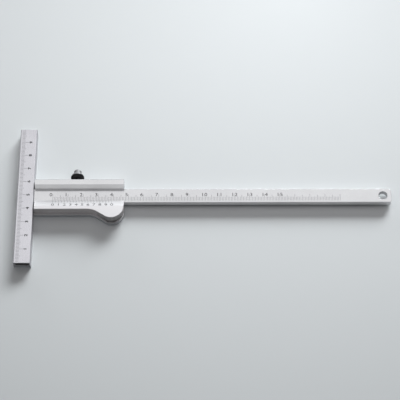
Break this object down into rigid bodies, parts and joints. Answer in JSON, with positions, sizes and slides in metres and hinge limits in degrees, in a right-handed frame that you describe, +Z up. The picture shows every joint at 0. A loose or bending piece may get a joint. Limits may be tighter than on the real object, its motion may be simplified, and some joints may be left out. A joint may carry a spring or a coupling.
{
  "type": "scriber gauge",
  "caption": "T-shaped scriber gauge: a graduated beam with a scribing point slides through a vernier head with a cross fence, and a clamp screw locks it.",
  "frame": {"origin": "middle of the gauge's length, on the centre line of the beam, in the plane of the sole", "axes": "+X along the beam from the fence to the hanging hole, +Y towards the rear rail and the clamp screw, +Z up out of the graduated faces"},
  "size_m": [0.2476, 0.1, 0.01],
  "materials": {
    "satin_chrome": "satin chrome over steel",
    "matt_chrome": "matt chrome over steel",
    "ground_steel": "ground steel",
    "bright_steel": "polished, turned",
    "black_oxide": "black oxide",
    "hard_metal": "ground hard metal",
    "spring_bronze": "rolled strip",
    "brass": "turned"
  },
  "bodies": {
    "head": {"head_plate": "ground_steel", "fence_channel": "satin_chrome", "fence_block_front": "ground_steel", "fence_block_rear": "ground_steel", "vernier_block": "matt_chrome", "rear_rail": "satin_chrome", "leaf_spring": "spring_bronze", "fence_screw_1": "ground_steel", "fence_screw_2": "ground_steel", "fence_screw_3": "ground_steel", "fence_screw_4": "ground_steel", "vernier_screw_1": "ground_steel", "vernier_screw_2": "ground_steel", "vernier_screw_3": "ground_steel", "rail_screw_1": "ground_steel", "rail_screw_2": "ground_steel", "rail_screw_3": "ground_steel", "rail_screw_4": "ground_steel", "gib_screw_1": "ground_steel", "gib_screw_2": "ground_steel"},
    "beam": {"beam": "satin_chrome", "scriber_tip": "hard_metal", "stop_screw": "ground_steel"},
    "clamp_pad": {"clamp_pad": "brass"},
    "clamp_screw": {"clamp_shank": "bright_steel", "clamp_collar": "black_oxide", "clamp_cap": "bright_steel"}
  },
  "joints": [
    {"name": "beam_slide", "type": "slide", "parent": "head", "child": "beam", "axis": [-1, 0, 0], "range_m": [0, 0.15]},
    {"name": "clamp_advance", "type": "slide", "parent": "head", "child": "clamp_pad", "axis": [0, 1, 0], "range_m": [0, 0.00075]},
    {"name": "clamp_turn", "type": "hinge", "parent": "clamp_pad", "child": "clamp_screw", "pos_m": [-0.08431, 0, 0.0048], "axis": [0, 1, 0], "range_deg": [0, 545]}
  ],
  "couplings": [
    {"joint": "clamp_turn", "follows": "clamp_advance", "rad_per_m": 12566}
  ]
}
